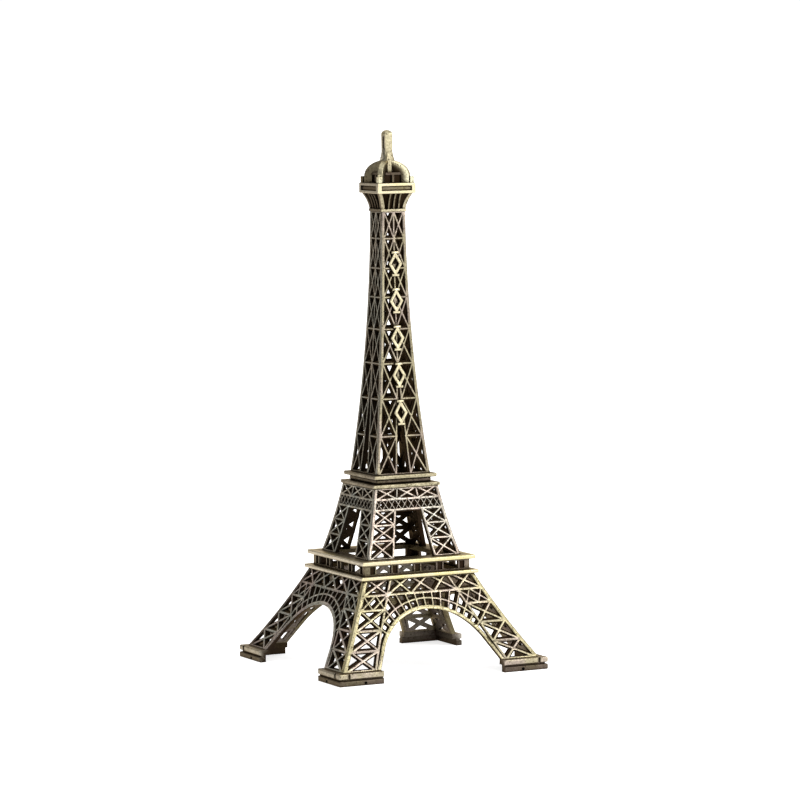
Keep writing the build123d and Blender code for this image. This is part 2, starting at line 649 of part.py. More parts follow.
with BuildPart() as capital:
    add(flared_block(0))
    for quarter in range(4):
        with Locations(Rotation(0, 0, 90 * quarter)):
            add(rib_gaps.part, mode=Mode.SUBTRACT)
    with Locations((0, 0, (CAPITAL_FOOT + CAPITAL_RING_TOP) / 2)):
        Box(2 * CAPITAL_RING_HALF, 2 * CAPITAL_RING_HALF, CAPITAL_RING_TOP - CAPITAL_FOOT)
    with Locations((0, 0, CAPITAL_FOOT)):
        Cylinder(SPIGOT_RADIUS, CAPITAL_TOP + SPIGOT_HEIGHT - CAPITAL_FOOT,
                 align=(Align.CENTER, Align.CENTER, Align.MIN))
        Cylinder(CAPITAL_BORE, CAPITAL_TOP + SPIGOT_HEIGHT - CAPITAL_FOOT,
                 align=(Align.CENTER, Align.CENTER, Align.MIN), mode=Mode.SUBTRACT)
    pockets(SHAFT_HEAD_LUG_SPACING, SHAFT_HEAD_LUG_Y, CAPITAL_FOOT, SHAFT_LUG_WIDTH)
save(capital.part, "capital")


# ---- Crown gallery: a square block with a framed recess in each face -------------------------
def foot_block_pegs(play=0.0, mode=Mode.ADD):
    """Two round pegs under the foot blocks of an arch lying along X, or their sockets."""
    with Locations((-FOOT_BLOCK_AT, 0, CROWN_TOP), (FOOT_BLOCK_AT, 0, CROWN_TOP)):
        Cylinder(PEG_RADIUS + play, PEG_HEIGHT + play,
                 align=(Align.CENTER, Align.CENTER, Align.MAX), mode=mode)


with BuildPart() as crown:
    crown_middle = (CAPITAL_TOP + CROWN_TOP) / 2
    recess_tall, recess_depth = CROWN_RECESS
    panel_margin, panel_rise = CROWN_PANEL
    recess_wide = 2 * (CROWN_HALF - CROWN_FRAME)
    recess_back = recess_depth - CROWN_HALF
    with Locations((0, 0, crown_middle)):
        Box(2 * CROWN_HALF, 2 * CROWN_HALF, CROWN_TOP - CAPITAL_TOP)
        fillet(crown.edges(), CROWN_ROUND)
        Cylinder(CROWN_BORE, CROWN_TOP - CAPITAL_TOP, mode=Mode.SUBTRACT)
    for quarter in range(4):
        with Locations(Rotation(0, 0, 90 * quarter)):
            with Locations((0, -CROWN_HALF, crown_middle)):
                Box(recess_wide, 2 * recess_depth, recess_tall, mode=Mode.SUBTRACT)
            with Locations((0, recess_back, crown_middle)):
                Box(recess_wide - 2 * panel_margin, 2 * panel_rise, recess_tall - 2 * panel_margin)
    for angle in (45, -45):
        with Locations(Rotation(0, 0, angle)):
            foot_block_pegs(LUG_PLAY, Mode.SUBTRACT)
save(crown.part, "crown_gallery")


# ---- Cupola: two diagonal ribs, half-lapped where they cross ---------------------------------
LANTERN_REACH = LANTERN_CORNER / sqrt(2) + LANTERN_PLAY

with BuildPart() as whole_rib:
    with BuildSketch(Plane.XZ):
        with Locations((0, ARCH_SPRINGING)):
            Ellipse(*ARCH_OUTER)
            Rectangle(REACH, REACH, align=(Align.CENTER, Align.MAX), mode=Mode.SUBTRACT)
        with Locations((0, CROWN_TOP)):
            Rectangle(2 * ARCH_OUTER[0], ARCH_SPRINGING - CROWN_TOP,
                      align=(Align.CENTER, Align.MIN))
            Rectangle(2 * LANTERN_REACH, LANTERN_TOP - CROWN_TOP,
                      align=(Align.CENTER, Align.MIN), mode=Mode.SUBTRACT)
    extrude(amount=ARCH_THICK / 2, both=True)
    with Locations(
        Location((-FOOT_BLOCK_AT, 0, CROWN_TOP), (0, 0, 45)),
        Location((FOOT_BLOCK_AT, 0, CROWN_TOP), (0, 0, 45)),
    ):
        Box(FOOT_BLOCK, FOOT_BLOCK, FOOT_BLOCK_TOP - CROWN_TOP,
            align=(Align.CENTER, Align.CENTER, Align.MIN))
    foot_block_pegs()
    with Locations((0, 0, CROWN_TOP)):
        Cylinder(FINIAL_PIN + LUG_PLAY, 2 * REACH, mode=Mode.SUBTRACT)

LAP_LEVEL = (LANTERN_TOP + ARCH_SPRINGING + ARCH_OUTER[1]) / 2


def half_lap(name, angle, side):
    """The rib turned to its diagonal, with the upper (MIN) or lower (MAX) half cut away."""
    with BuildPart() as lapped:
        with Locations(Rotation(0, 0, angle)):
            add(whole_rib.part)
            with Locations((0, 0, LAP_LEVEL)):
                Box(ARCH_THICK + 2 * LAP_PLAY, 2 * ARCH_THICK, REACH,
                    align=(Align.CENTER, Align.CENTER, side), mode=Mode.SUBTRACT)
    save(lapped.part, name)
    return lapped.part


lower_rib = half_lap("cupola_rib_lower", 45, Align.MIN)
upper_rib = half_lap("cupola_rib_upper", -45, Align.MAX)

# ---- Lantern house: eight-sided, with two windows in each broad side -------------------------
WINDOW_AT = (WINDOW[0] + MULLION) / 2

with BuildPart() as lantern:
    with BuildSketch(Plane.XY.offset(CROWN_TOP)):
        Rectangle(2 * LANTERN_HALF, 2 * LANTERN_HALF)
        Rectangle(LANTERN_CORNER * sqrt(2), LANTERN_CORNER * sqrt(2), rotation=45,
                  mode=Mode.INTERSECT)
    extrude(amount=LANTERN_TOP - CROWN_TOP)
    with BuildSketch(Plane.XZ.offset(LANTERN_HALF - WINDOW[2])) as windows:
        with Locations((-WINDOW_AT, CROWN_TOP), (WINDOW_AT, CROWN_TOP)):
            Rectangle(WINDOW[0], WINDOW[1], align=(Align.CENTER, Align.MIN))
        with Locations((0, CROWN_TOP + WINDOW[1])):
            Triangle(a=MULLION_HEAD, B=45, C=45, rotation=180,
                     align=(Align.CENTER, Align.MAX), mode=Mode.SUBTRACT)
    for quarter in range(4):
        with Locations(Rotation(0, 0, 90 * quarter)):
            add(extrude(windows.sketch, amount=WINDOW[2], mode=Mode.PRIVATE), mode=Mode.SUBTRACT)
    with Locations((0, 0, FINIAL_PIN_FOOT - LUG_PLAY)):
        Cylinder(FINIAL_PIN + LUG_PLAY, REACH, align=(Align.CENTER, Align.CENTER, Align.MIN),
                 mode=Mode.SUBTRACT)
save(lantern.part, "lantern_house")


# ---- Finial: a grooved blade that straddles the crossing of the ribs, with corner fins --------
def blade_outline(side):
    """Round-tipped outline in the active sketch, from the points of its right half."""
    tip, shoulder = side[-1]
    with BuildLine() as outline:
        Polyline(*side)
        CenterArc((0, shoulder), tip, 0, 90)
        mirror(about=Plane.YZ)
        Line((-side[0][0], side[0][1]), side[0])
    make_face(outline.edges())


with BuildPart() as fin:
    with BuildSketch(Plane.XZ):
        with BuildLine():
            fin_edge = ThreePointArc(*FIN_PROFILE)
            Polyline(fin_edge @ 1, (0, FIN_PROFILE[2][1]), (0, FIN_PROFILE[0][1]), fin_edge @ 0)
        make_face()
        mirror(about=Plane.YZ)
    extrude(amount=FIN_THICK / 2, both=True)

with BuildPart() as finial:
    with BuildSketch(Plane.XZ):
        blade_outline(BLADE_WIDTHS)
    extrude(amount=REACH, both=True)
    with BuildSketch(Plane.YZ):
        blade_outline(BLADE_DEPTHS)
    extrude(amount=REACH, both=True, mode=Mode.INTERSECT)
    groove_width, groove_length, groove_middle, groove_depth = BLADE_GROOVE
    for side in (-1, 1):
        with BuildSketch(Plane.YZ.offset(side * (BLADE_WIDTHS[-1][0] - groove_depth))):
            with Locations((0, groove_middle)):
                SlotOverall(groove_length, groove_width, rotation=90)
        extrude(amount=side * REACH, mode=Mode.SUBTRACT)
    for angle in (45, -45):
        with Locations(Rotation(0, 0, angle)):
            add(fin.part)
    add(lower_rib, mode=Mode.SUBTRACT)
    add(upper_rib, mode=Mode.SUBTRACT)
    with Locations((0, 0, FINIAL_PIN_FOOT)):
        Cylinder(FINIAL_PIN, FINIAL_PIN_TOP - FINIAL_PIN_FOOT,
                 align=(Align.CENTER, Align.CENTER, Align.MIN))
save(finial.part, "finial")


# ---- Ornaments: openwork lozenges standing proud of the shaft's front ------------------------
def lozenge(width, height, mode=Mode.ADD):
    """Upright lozenge in the active sketch."""
    Polygon((0, -height / 2), (width / 2, 0), (0, height / 2), (-width / 2, 0), mode=mode)


ORNAMENT_PROFILE = [(half + ORNAMENT_RISE, height) for half, height in SHAFT_PROFILE]

for number, ornament_height in enumerate(ORNAMENT_HEIGHTS, start=1):
    with BuildSketch(Plane.XZ) as ornament:
        with Locations((0, ornament_height)):
            lozenge(*ORNAMENT_SIZE)
            lozenge(*ORNAMENT_OPENING, mode=Mode.SUBTRACT)
            with GridLocations(1, ORNAMENT_SIZE[1] - ORNAMENT_CAP[1], 1, 2):
                Rectangle(*ORNAMENT_CAP)
    save(layer(ORNAMENT_PROFILE, 0, ORNAMENT_RISE, ornament.sketch), f"ornament_{number}")
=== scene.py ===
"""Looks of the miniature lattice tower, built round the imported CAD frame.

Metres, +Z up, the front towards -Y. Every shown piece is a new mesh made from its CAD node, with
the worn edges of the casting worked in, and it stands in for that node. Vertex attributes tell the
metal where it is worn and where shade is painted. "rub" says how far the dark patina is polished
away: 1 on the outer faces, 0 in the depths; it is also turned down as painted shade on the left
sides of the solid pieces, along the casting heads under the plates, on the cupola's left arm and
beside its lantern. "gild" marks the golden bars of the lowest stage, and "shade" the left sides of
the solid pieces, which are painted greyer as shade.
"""
import math

import bmesh
import bpy
import numpy as np
from mathutils import Matrix, Quaternion, Vector


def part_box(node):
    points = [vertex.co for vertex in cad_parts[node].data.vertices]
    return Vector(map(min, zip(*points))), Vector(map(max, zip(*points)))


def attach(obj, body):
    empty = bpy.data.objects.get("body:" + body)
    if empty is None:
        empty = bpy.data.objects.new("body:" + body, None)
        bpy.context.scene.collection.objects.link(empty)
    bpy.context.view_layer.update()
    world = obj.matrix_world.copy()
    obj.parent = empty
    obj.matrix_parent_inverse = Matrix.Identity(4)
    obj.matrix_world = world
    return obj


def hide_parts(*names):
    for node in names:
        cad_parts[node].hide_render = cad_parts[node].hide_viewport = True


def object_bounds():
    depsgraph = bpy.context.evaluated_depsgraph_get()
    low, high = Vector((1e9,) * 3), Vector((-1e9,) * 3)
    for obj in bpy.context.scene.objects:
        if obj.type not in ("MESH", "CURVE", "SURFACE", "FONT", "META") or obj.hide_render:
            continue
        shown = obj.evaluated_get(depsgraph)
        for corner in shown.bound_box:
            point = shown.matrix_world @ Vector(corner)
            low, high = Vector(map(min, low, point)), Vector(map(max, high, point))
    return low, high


MM = 0.001
QUARTERS = ("front", "right", "back", "left")

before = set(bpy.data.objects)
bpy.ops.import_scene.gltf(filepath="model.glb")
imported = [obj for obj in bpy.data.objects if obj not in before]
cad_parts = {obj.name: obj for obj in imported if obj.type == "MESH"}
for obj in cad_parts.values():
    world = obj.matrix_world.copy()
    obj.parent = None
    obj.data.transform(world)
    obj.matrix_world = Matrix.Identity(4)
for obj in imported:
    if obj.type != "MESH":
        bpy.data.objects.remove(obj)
cad_low, cad_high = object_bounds()
TOWER_HEIGHT = cad_high.z - cad_low.z


# ---- Node helpers ---------------------------------------------------------------------------
def math_node(tree, operation, first, second=None, third=None, clamp=False):
    """One Math node; each input is a socket or a number."""
    node = tree.nodes.new("ShaderNodeMath")
    node.operation = operation
    node.use_clamp = clamp
    for port, value in zip(node.inputs, (first, second, third)):
        if value is None:
            continue
        if isinstance(value, (int, float)):
            port.default_value = value
        else:
            tree.links.new(value, port)
    return node.outputs[0]


def noise_node(tree, coordinates, scale, detail, roughness=0.5):
    """Noise texture in the object's own space; scale is in features per metre."""
    node = tree.nodes.new("ShaderNodeTexNoise")
    node.inputs["Scale"].default_value = scale
    node.inputs["Detail"].default_value = detail
    node.inputs["Roughness"].default_value = roughness
    tree.links.new(coordinates, node.inputs["Vector"])
    return node.outputs["Fac"]


def range_node(tree, value, low, high, to_low=0.0, to_high=1.0):
    """Smooth map of a value from one range to another."""
    node = tree.nodes.new("ShaderNodeMapRange")
    node.interpolation_type = "SMOOTHSTEP"
    for name, number in (
        ("From Min", low), ("From Max", high), ("To Min", to_low), ("To Max", to_high),
    ):
        node.inputs[name].default_value = number
    tree.links.new(value, node.inputs["Value"])
    return node.outputs["Result"]


def mix_node(tree, factor, first, second, blend="MIX"):
    """Blend of two colours, each a socket or a plain colour."""
    node = tree.nodes.new("ShaderNodeMix")
    node.data_type = "RGBA"
    node.blend_type = blend
    ports = [port for port in node.inputs if port.type == "RGBA"]
    for port, colour in zip([node.inputs["Factor"], *ports], (factor, first, second)):
        if isinstance(colour, bpy.types.NodeSocket):
            tree.links.new(colour, port)
        else:
            port.default_value = (*colour, 1) if isinstance(colour, tuple) else colour
    return next(port for port in node.outputs if port.type == "RGBA")


def attribute_node(tree, name):
    """A vertex attribute as a number, which is 0 on a mesh without it."""
    node = tree.nodes.new("ShaderNodeAttribute")
    node.attribute_name = name
    return node.outputs["Fac"]


# ---- Camera ---------------------------------------------------------------------------------
CAMERA_AZIMUTH = math.radians(-27.037)
CAMERA_ELEVATION = math.radians(5.156)
CAMERA_ROLL = math.radians(-0.551)
CAMERA_DISTANCE = 0.98267
CAMERA_AIM = Vector((2.893 * MM, 0.0, 0.49472 * TOWER_HEIGHT))
CAMERA_CLIP = (0.05, 40.0)
LENS = 181.64
SENSOR = 36.0


def make_camera():
    """Long-lens camera off the front left corner, looking slightly down at the tower's middle."""
    back = Vector((
        math.sin(CAMERA_AZIMUTH) * math.cos(CAMERA_ELEVATION),
        -math.cos(CAMERA_AZIMUTH) * math.cos(CAMERA_ELEVATION),
        math.sin(CAMERA_ELEVATION),
    ))
    data = bpy.data.cameras.new("camera")
    data.lens = LENS
    data.sensor_width = SENSOR
    data.clip_start, data.clip_end = CAMERA_CLIP
    camera = bpy.data.objects.new("camera", data)
    bpy.context.scene.collection.objects.link(camera)
    camera.rotation_mode = "QUATERNION"
    camera.location = CAMERA_AIM + back * CAMERA_DISTANCE
    camera.rotation_quaternion = (
        (-back).to_track_quat("-Z", "Y") @ Quaternion((0, 0, 1), CAMERA_ROLL)
    )
    bpy.context.scene.camera = camera


# ---- Light and floor ------------------------------------------------------------------------
BRIGHT_SIDE = Vector((0.80, 0.10, 0.59))       # where the studio is brightest
WORLD_RANGE = (-0.40, 0.42, 0.22, 1.05)        # along that direction: from, to, dim, bright
OVERHEAD_POWER = 0.35
OVERHEAD_SPREAD = math.radians(50)
OVERHEAD_TURN = (math.radians(18), math.radians(14), 0)
SOFT_LIGHTS = (                                # name, place, size, power, colour
    ("key", (0.55, -0.75, 0.45), 0.35, 3.0, (1.0, 0.98, 0.94)),
    ("fill", (-0.95, -0.47, 0.10), 0.25, 1.6, (1.0, 0.99, 0.96)),
)
FLOOR_REACH = 12.0
FLOOR_COLOUR = (0.93, 0.93, 0.93, 1)
FLOOR_ROUGHNESS = 0.9
FLOOR_GLOW = 0.74                              # keeps the paper white in the tower's shade


def make_world():
    """White surroundings, brightest towards one side."""
    world = bpy.data.worlds.new("studio")
    world.use_nodes = True
    tree = world.node_tree
    background = tree.nodes["Background"]
    background.inputs["Color"].default_value = (1, 1, 1, 1)
    direction = tree.nodes.new("ShaderNodeTexCoord").outputs["Generated"]
    facing = tree.nodes.new("ShaderNodeVectorMath")
    facing.operation = "DOT_PRODUCT"
    facing.inputs[1].default_value = BRIGHT_SIDE
    tree.links.new(direction, facing.inputs[0])
    strength = range_node(tree, facing.outputs["Value"], *WORLD_RANGE)
    tree.links.new(strength, background.inputs["Strength"])
    bpy.context.scene.world = world
    bpy.context.scene.view_settings.view_transform = "Standard"


def make_lights():
    """A weak, wide sun overhead, and square soft lights turned to the tower's middle."""
    data = bpy.data.lights.new("overhead", "SUN")
    data.energy = OVERHEAD_POWER
    data.angle = OVERHEAD_SPREAD
    overhead = bpy.data.objects.new("overhead", data)
    overhead.rotation_euler = OVERHEAD_TURN
    bpy.context.scene.collection.objects.link(overhead)
    for name, place, size, power, colour in SOFT_LIGHTS:
        data = bpy.data.lights.new(name, "AREA")
        data.shape = "SQUARE"
        data.size = size
        data.energy = power
        data.color = colour
        light = bpy.data.objects.new(name, data)
        bpy.context.scene.collection.objects.link(light)
        light.location = place
        aim = Vector((0, 0, TOWER_HEIGHT / 2)) - light.location
        light.rotation_mode = "QUATERNION"
        light.rotation_quaternion = aim.to_track_quat("-Z", "Y")


def make_floor():
    """Pale floor under the tower's feet."""
    mesh = bpy.data.meshes.new("floor")
    corners = ((-1, -1), (1, -1), (1, 1), (-1, 1))
    mesh.from_pydata(
        [(x * FLOOR_REACH, y * FLOOR_REACH, 0) for x, y in corners], [], [(0, 1, 2, 3)],
    )
    floor = bpy.data.objects.new("floor", mesh)
    floor.location.z = cad_low.z
    bpy.context.scene.collection.objects.link(floor)
    paint = bpy.data.materials.new("floor_white")
    paint.use_nodes = True
    shader = paint.node_tree.nodes["Principled BSDF"]
    shader.inputs["Base Color"].default_value = FLOOR_COLOUR
    shader.inputs["Roughness"].default_value = FLOOR_ROUGHNESS
    shader.inputs["Specular IOR Level"].default_value = 0.0
    shader.inputs["Emission Color"].default_value = (1, 1, 1, 1)
    shader.inputs["Emission Strength"].default_value = FLOOR_GLOW
    mesh.materials.append(paint)


# ---- Antique bronze -------------------------------------------------------------------------
# Colour by how far the patina is rubbed away: place on the ramp, then linear colour.
PATINA = (
    (0.00, (0.018, 0.0108, 0.0058)),
    (0.25, (0.036, 0.0255, 0.0172)),
    (0.50, (0.115, 0.099, 0.080)),
    (0.75, (0.310, 0.282, 0.238)),
    (1.00, (0.620, 0.570, 0.490)),
)
# The colours that patches of the metal lean to.
OLIVE = (1.00, 0.98, 0.76)
ROSE = (1.00, 0.91, 0.90)
GOLD = (1.00, 0.98, 0.60)
STRAW = (1.00, 0.97, 0.76)
MAUVE = (1.00, 0.93, 1.00)
STONE = (0.96, 0.98, 0.98)
SLATE = (0.86, 0.96, 1.00)
LICHEN = (0.95, 1.00, 0.84)
GILT = (1.00, 0.97, 0.68)                      # where a mesh's "gild" attribute is 1
PAINTED_SHADE_HUE = (0.97, 0.97, 0.91)                     # where a mesh's "shade" attribute is 1: left sides, greyer as painted shade
HUE_RANGE = (0.38, 0.62)                       # of the noise, from one patch colour to the other
EDGE_SHEEN = (0.86, 0.72, 0.56, 1)             # what the metal reflects at grazing angles
METALNESS = 0.97
ROUGHNESS_RANGE = (0.1, 0.9, 0.55, 0.36)       # rub from, to, and roughness from, to

PATCH_SCALE = 230                              # patches of uneven rubbing, per metre
HUE_SCALE = 140                                # patches of either colour, per metre
GRAIN_SCALE = 1800
SPECK_SCALE = 2600
GRAIN_RUB = 0.08                               # rub that the grain adds everywhere
PIT_RANGE = (0.34, 0.42)                       # of the speck noise, from pit to metal
CREVICE_REACH = 1.1 * MM                       # how far off a wall still makes a crevice, for the painted shade of ambient occlusion
CREVICE_RANGE = (0.25, 0.85, 0.25, 1.0)        # openness from, to, and factor on the rub from, to; this darkening is painted shade
BUMP_HEIGHT = 0.05 * MM
BUMP_STRENGTH = 0.35

METALS = {
    "rubbed_frames": dict(polish=1.06, tints=(GOLD, STRAW), pits=0.2, mottle=0.2),
    "rubbed_ornaments": dict(polish=0.92, tints=(OLIVE, STRAW), pits=0.25, mottle=0.25),
    "rubbed_plates": dict(polish=0.75, tints=(OLIVE, STRAW), mottle=0.45),
    "foot_metal": dict(polish=0.75, tints=(STRAW, ROSE)),
    # The foot behind: a greyer copy of foot_metal, as painted shade.
    "far_foot_metal": dict(polish=0.78, tints=(STONE, MAUVE)),
    "dark_band": dict(polish=0.52, tints=(ROSE, STRAW)),
    "cupola_metal": dict(polish=0.92, tints=(OLIVE, LICHEN)),
    "finial_metal": dict(polish=0.76, tints=(STRAW, OLIVE), mottle=0.5),
}


def bronze(name, polish, tints, pits=0.4, mottle=0.35, least=0.0):
    """Antique bronze: dark patina in the hollows, rubbed metal on what stands proud.

    polish is how far the outer faces are rubbed, tints the two colours that patches of the metal
    lean to, pits how dark the specks left on it are, mottle how uneven the rubbing is and least
    how far even the hollows are rubbed.
    """
    material = bpy.data.materials.new(name)
    material.use_nodes = True
    tree = material.node_tree
    shader = tree.nodes["Principled BSDF"]
    coordinates = tree.nodes.new("ShaderNodeTexCoord").outputs["Object"]
    crevice = tree.nodes.new("ShaderNodeAmbientOcclusion")
    crevice.samples = 6
    crevice.inputs["Distance"].default_value = CREVICE_REACH

    patches = noise_node(tree, coordinates, PATCH_SCALE, detail=3)
    hue_patches = noise_node(tree, coordinates, HUE_SCALE, detail=2)
    grain = noise_node(tree, coordinates, GRAIN_SCALE, detail=3, roughness=0.6)
    specks = noise_node(tree, coordinates, SPECK_SCALE, detail=2)

    worn = math_node(tree, "MULTIPLY", attribute_node(tree, "rub"), polish)
    worn = math_node(tree, "MAXIMUM", worn, least)
    for noise in (patches, grain):
        uneven = math_node(tree, "MULTIPLY_ADD", noise, mottle, 1 - mottle / 2)
        worn = math_node(tree, "MULTIPLY", worn, uneven)
    # Ambient occlusion darkens crevices and corners: painted shade, over the patina kept in them.
    open_air = range_node(tree, crevice.outputs["AO"], *CREVICE_RANGE)
    worn = math_node(tree, "MULTIPLY", worn, open_air)
    pit = range_node(tree, specks, *PIT_RANGE, 1 - pits, 1.0)
    worn = math_node(tree, "MULTIPLY", worn, pit)
    worn = math_node(tree, "ADD", worn, math_node(tree, "MULTIPLY", grain, GRAIN_RUB), clamp=True)

    tint = mix_node(tree, range_node(tree, hue_patches, *HUE_RANGE), *tints)
    # The "shade" attribute turns the left sides greyer: painted shade.
    for attribute, hue in (("gild", GILT), ("shade", PAINTED_SHADE_HUE)):
        tint = mix_node(tree, attribute_node(tree, attribute), tint, hue)
    base = mix_node(tree, 1.0, patina_ramp(tree, worn), tint, "MULTIPLY")
    tree.links.new(base, shader.inputs["Base Color"])

    roughness = range_node(tree, worn, *ROUGHNESS_RANGE)
    tree.links.new(roughness, shader.inputs["Roughness"])
    shader.inputs["Metallic"].default_value = METALNESS
    shader.inputs["Specular Tint"].default_value = EDGE_SHEEN
    bump = tree.nodes.new("ShaderNodeBump")
    bump.inputs["Strength"].default_value = BUMP_STRENGTH
    bump.inputs["Distance"].default_value = BUMP_HEIGHT
    tree.links.new(math_node(tree, "ADD", grain, pit), bump.inputs["Height"])
    tree.links.new(bump.outputs["Normal"], shader.inputs["Normal"])
    return material


def patina_ramp(tree, worn):
    """Colour ramp from the dark patina to bare metal."""
    node = tree.nodes.new("ShaderNodeValToRGB")
    elements = node.color_ramp.elements
    elements.remove(elements[0])
    elements[0].position = PATINA[0][0]
    elements[0].color = (*PATINA[0][1], 1)
    for position, colour in PATINA[1:]:
        elements.new(position).color = (*colour, 1)
    tree.links.new(worn, node.inputs["Fac"])
    return node.outputs["Color"]


# ---- From a CAD node to a piece -------------------------------------------------------------
MERGE_DISTANCE = 0.0005 * MM
FLAT_ANGLE = math.radians(1.0)
SHARP_ANGLE = math.radians(25)                 # an outward edge sharper than this is rounded
CORNER_MATCH = 0.002 * MM                      # how alike a corner point's x and y are
FIT_PASSES = 4
FIT_MARGIN = 0.01 * MM                         # points this far inside the fit are dropped


def clean_copy(node, flat=True):
    """A CAD node's mesh as bmesh, with its flat faces whole again unless flat is off."""
    shape = bmesh.new()
    shape.from_mesh(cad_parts[node].data)
    bmesh.ops.remove_doubles(shape, verts=shape.verts, dist=MERGE_DISTANCE)
    if flat:
        bmesh.ops.dissolve_limit(
            shape, angle_limit=FLAT_ANGLE, verts=shape.verts, edges=shape.edges,
        )
    return shape


def stand_in(shape, name, node, material, quarter=0):
    """Turn a bmesh into the piece that stands in for a CAD node, quarter turns from the front."""
    shape.transform(Matrix.Rotation(quarter * math.pi / 2, 4, "Z"))
    mesh = bpy.data.meshes.new(name)
    shape.to_mesh(mesh)
    shape.free()
    mesh.materials.append(material)
    piece = bpy.data.objects.new(name, mesh)
    bpy.context.scene.collection.objects.link(piece)
    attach(piece, "root")
    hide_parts(node)


def half_profile(node):
    """Half width of a flared piece by height, from its outermost corner points."""
    points = np.array([vertex.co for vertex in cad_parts[node].data.vertices])
    across = np.abs(points[:, :2])
    corner = np.abs(across[:, 0] - across[:, 1]) < CORNER_MATCH
    height, half = points[corner, 2], across[corner, 0]
    for _ in range(FIT_PASSES):
        curve = np.polyfit(height, half, 2)
        outside = half >= np.polyval(curve, height) - FIT_MARGIN
        height, half = height[outside], half[outside]
    return lambda z: np.polyval(curve, z)


def outline_half(node):
    """Constant half width of a square piece, as a function of height."""
    low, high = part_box(node)
    half = max(high.x, high.y, -low.x, -low.y)
    return lambda z: half


def cut_through(shape, point, normal):
    """Cut the faces of a bmesh along a plane, and keep both sides."""
    parts = shape.verts[:] + shape.edges[:] + shape.faces[:]
    bmesh.ops.bisect_plane(shape, geom=parts, plane_co=point, plane_no=normal)


def round_edges(shape, width):
    """Round the outward edges of a bmesh."""
    edges = [
        edge for edge in shape.edges
        if len(edge.link_faces) == 2 and edge.calc_face_angle_signed(0) > SHARP_ANGLE
    ]
    bmesh.ops.bevel(
        shape, geom=edges, offset=width, offset_type="OFFSET", segments=2, profile=0.5,
        affect="EDGES", clamp_overlap=True,
    )


# ---- Lattice castings and ornaments ---------------------------------------------------------
OUTWARD = Vector((0, -1, 0))                   # every casting is shaped as the front one
FACES_OUT = 0.8                                # least part of an outer face's normal that is outward
OUTLINE_MARGIN = 0.15 * MM                     # how near the outline an outer face lies
EDGE_STEPS = ((0.06 * MM, 0.12 * MM), (0.05 * MM, 0.04 * MM))   # inset, drop of each step
STEP_RUB = (0.1, 0.62, 1.0)                    # of the first rim, the second and the face within
LONGEST_MITRE = 3.0                            # of an inset at a sharp corner, in insets
PLATE_SHADOW_DEPTH = 0.35 * MM                            # painted shadow line where a casting meets the plate above
PLATE_SHADOW_RUB = 0.15
ABOVE_CUT = 0.02 * MM                          # off the crevice's edge, to leave that edge bright
ARCH_REACH = 16.6 * MM                         # from the middle of the ground line to the rim
GILDED_STRIP = 1.5 * MM
DULLED_STRIP = 1.3 * MM
ORNAMENTS = 5


def round_over(shape, outer):
    """Inset outer faces in steps, drop each step's rim and mark how far it is rubbed."""
    layer = shape.verts.layers.float.new("rub")
    for (inset, drop), rub in zip(EDGE_STEPS, STEP_RUB):
        bmesh.ops.inset_region(
            shape, faces=outer, thickness=inset, depth=0, use_even_offset=True, use_boundary=True,
        )
        inner = {vertex for face in outer for vertex in face.verts}
        rim = set()
        for vertex in inner:
            outside = {edge.other_vert(vertex) for edge in vertex.link_edges} - inner
            rim |= outside
            if outside:
                nearest = min(outside, key=lambda other: (other.co - vertex.co).length)
                move = vertex.co - nearest.co
                if move.length > LONGEST_MITRE * inset:
                    vertex.co = nearest.co + move.normalized() * LONGEST_MITRE * inset
        for vertex in rim:
            vertex.co.y += drop
            reach = -vertex.co.y
            vertex.co.x = max(-reach, min(reach, vertex.co.x))
            vertex[layer] = rub
        for vertex in inner:
            vertex[layer] = STEP_RUB[-1]


def lattice_shape(node, half=None, gilded=False, crevice=False):
    """A front casting with its outer face rounded over, its corner seam let in and rub marked.

    half gives the outline's half width by height; only faces that lie on it are outer faces.
    gilded marks the corner bars and the rim of the arch as golden. crevice paints the shadow of the
    plate above as a dark line along the casting's head.
    """
    shape = clean_copy(node, flat=False)
    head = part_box(node)[1].z - PLATE_SHADOW_DEPTH
    if crevice:
        cut_through(shape, (0, 0, head), (0, 0, 1))
    outer = [face for face in shape.faces if face.normal.dot(OUTWARD) > FACES_OUT]
    if half:
        outer = [
            face for face in outer
            if all(-vertex.co.y > half(vertex.co.z) - OUTLINE_MARGIN for vertex in face.verts)
        ]
    round_over(shape, outer)
    if gilded:
        gild = shape.verts.layers.float.new("gild")
        for vertex in shape.verts:
            in_strip = half(vertex.co.z) - abs(vertex.co.x) < GILDED_STRIP
            vertex[gild] = float(in_strip or math.hypot(vertex.co.x, vertex.co.z) < ARCH_REACH)
    # Paint the shadow of the plate above along the casting's head.
    if crevice:
        rub = shape.verts.layers.float["rub"]
        for vertex in shape.verts:
            if vertex.co.z > head + ABOVE_CUT:
                vertex[rub] *= PLATE_SHADOW_RUB
    return shape


def dull_edge(shape, half, towards, factor):
    """Take part of the rub off the strip along one upright edge.

    towards is the sign of x on that edge's side. Only the strip on the other side stays golden.
    """
    rub = shape.verts.layers.float["rub"]
    gild = shape.verts.layers.float.get("gild")
    for vertex in shape.verts:
        if half(vertex.co.z) - towards * vertex.co.x < DULLED_STRIP:
            vertex[rub] *= factor
        if gild and half(vertex.co.z) + towards * vertex.co.x > DULLED_STRIP:
            vertex[gild] = 0


